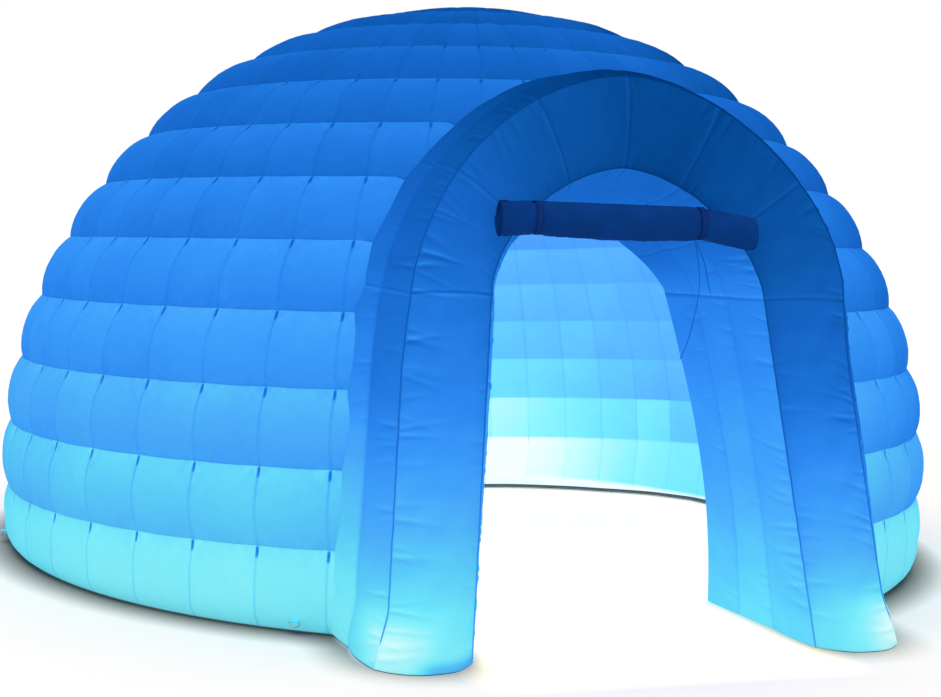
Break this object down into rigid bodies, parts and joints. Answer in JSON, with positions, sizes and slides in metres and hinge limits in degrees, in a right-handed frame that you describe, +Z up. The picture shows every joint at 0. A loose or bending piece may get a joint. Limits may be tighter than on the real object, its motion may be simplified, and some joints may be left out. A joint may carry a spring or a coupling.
{
  "type": "inflatable igloo tent",
  "caption": "Inflatable double-wall dome shelter with quilted rows, a leaning entrance arch, a rolled-up door, a light strip and a blower in the wall.",
  "frame": {"origin": "on the ground, in the middle of the footprint's box", "axes": "+Z up, the entrance faces -Y, +X to the right of someone facing the entrance from outside"},
  "size_m": [5.0098, 5.2645, 2.892],
  "materials": {
    "outer_cloth": "satin",
    "room_cloth": "satin",
    "arch_cloth": "satin",
    "lining_cloth": "satin",
    "web_cloth": "matte",
    "base_cloth": "matte",
    "curtain_cloth": "satin",
    "webbing": "matte",
    "cord": "matte",
    "glass_fibre": "satin",
    "rubber": "matte",
    "steel": "satin",
    "cast_aluminium": "satin",
    "zinc": "satin",
    "zip_tape": "matte",
    "light_strip": "satin",
    "black_plastic": "satin"
  },
  "bodies": {
    "envelope": {"anchor_tabs": "webbing", "arch_face_crown_left": "arch_cloth", "arch_face_crown_right": "arch_cloth", "arch_face_haunch_left": "arch_cloth", "arch_face_haunch_right": "arch_cloth", "arch_face_leg_left": "arch_cloth", "arch_face_leg_right": "arch_cloth", "arch_face_shoulder_left": "arch_cloth", "arch_face_shoulder_right": "arch_cloth", "arch_lining_crown": "lining_cloth", "arch_lining_legs": "lining_cloth", "arch_side_crown": "arch_cloth", "arch_side_legs": "arch_cloth", "arch_webs": "web_cloth", "base_panels": "base_cloth", "blower_feet": "rubber", "blower_housing_intake_half": "black_plastic", "blower_housing_motor_half": "black_plastic", "blower_rails": "black_plastic", "column_webs": "web_cloth", "door_header_strip": "curtain_cloth", "door_header_tabs": "webbing", "flap_pin": "steel", "housing_clips": "black_plastic", "inner_crown_panel": "room_cloth", "inner_skin_lower": "room_cloth", "inner_skin_middle": "room_cloth", "inner_skin_upper": "room_cloth", "intake_clamp_band": "steel", "intake_grille": "black_plastic", "intake_sleeve": "base_cloth", "led_clips": "black_plastic", "led_controller_box": "black_plastic", "led_controller_lid": "black_plastic", "led_foot_modules": "light_strip", "led_strip": "light_strip", "motor_bearing": "steel", "motor_can": "cast_aluminium", "outer_crown_panel": "outer_cloth", "outer_skin_lower": "outer_cloth", "outer_skin_middle": "outer_cloth", "outer_skin_upper": "outer_cloth", "ring_webs": "web_cloth", "tie_cord_long": "cord", "tie_cord_short": "cord", "tie_straps": "webbing", "zip_tape": "zip_tape"},
    "door_roll": {"door_curtain_roll": "curtain_cloth", "curtain_hem_batten": "glass_fibre"},
    "fan": {"blower_wheel": "black_plastic", "motor_shaft": "steel"},
    "flap": {"outlet_flap": "black_plastic"},
    "slider": {"zip_slider": "zinc"},
    "pull": {"zip_pull": "zinc"},
    "ring_1": {"anchor_ring_1": "steel"},
    "ring_2": {"anchor_ring_2": "steel"},
    "ring_3": {"anchor_ring_3": "steel"},
    "ring_4": {"anchor_ring_4": "steel"},
    "ring_5": {"anchor_ring_5": "steel"},
    "ring_6": {"anchor_ring_6": "steel"}
  },
  "joints": [
    {"name": "door_drop", "type": "slide", "parent": "envelope", "child": "door_roll", "axis": [0, -0.2317, -0.9728], "range_m": [0, 1.68], "deforming": ["tie_straps"]},
    {"name": "fan_spin", "type": "hinge", "parent": "envelope", "child": "fan", "pos_m": [0, 2.3766, 0.15], "axis": [0, 1, 0], "continuous": true},
    {"name": "flap_swing", "type": "hinge", "parent": "envelope", "child": "flap", "pos_m": [0.174, 2.3766, 0.258], "axis": [0, -1, 0], "range_deg": [0, 70]},
    {"name": "zip_slide", "type": "hinge", "parent": "envelope", "child": "slider", "pos_m": [0, 0.1146, 0.196], "axis": [0, 0, 1], "range_deg": [0, 12.2]},
    {"name": "pull_swing", "type": "hinge", "parent": "slider", "child": "pull", "pos_m": [-0.96352, 2.42385, 0.196], "axis": [0, 0, -1], "range_deg": [0, 150]},
    {"name": "ring_1_swing", "type": "hinge", "parent": "envelope", "child": "ring_1", "pos_m": [1.3616, -1.98208, 0.058], "axis": [-0.8387, -0.5446, 0], "range_deg": [-8, 115]},
    {"name": "ring_2_swing", "type": "hinge", "parent": "envelope", "child": "ring_2", "pos_m": [2.5, 0.1146, 0.058], "axis": [0, -1, 0], "range_deg": [-8, 115]},
    {"name": "ring_3_swing", "type": "hinge", "parent": "envelope", "child": "ring_3", "pos_m": [1.25, 2.27966, 0.058], "axis": [0.866, -0.5, 0], "range_deg": [-8, 115]},
    {"name": "ring_4_swing", "type": "hinge", "parent": "envelope", "child": "ring_4", "pos_m": [-1.25, 2.27966, 0.058], "axis": [0.866, 0.5, 0], "range_deg": [-8, 115]},
    {"name": "ring_5_swing", "type": "hinge", "parent": "envelope", "child": "ring_5", "pos_m": [-2.5, 0.1146, 0.058], "axis": [0, 1, 0], "range_deg": [-8, 115]},
    {"name": "ring_6_swing", "type": "hinge", "parent": "envelope", "child": "ring_6", "pos_m": [-1.3616, -1.98208, 0.058], "axis": [-0.8387, 0.5446, 0], "range_deg": [-8, 115]}
  ]
}
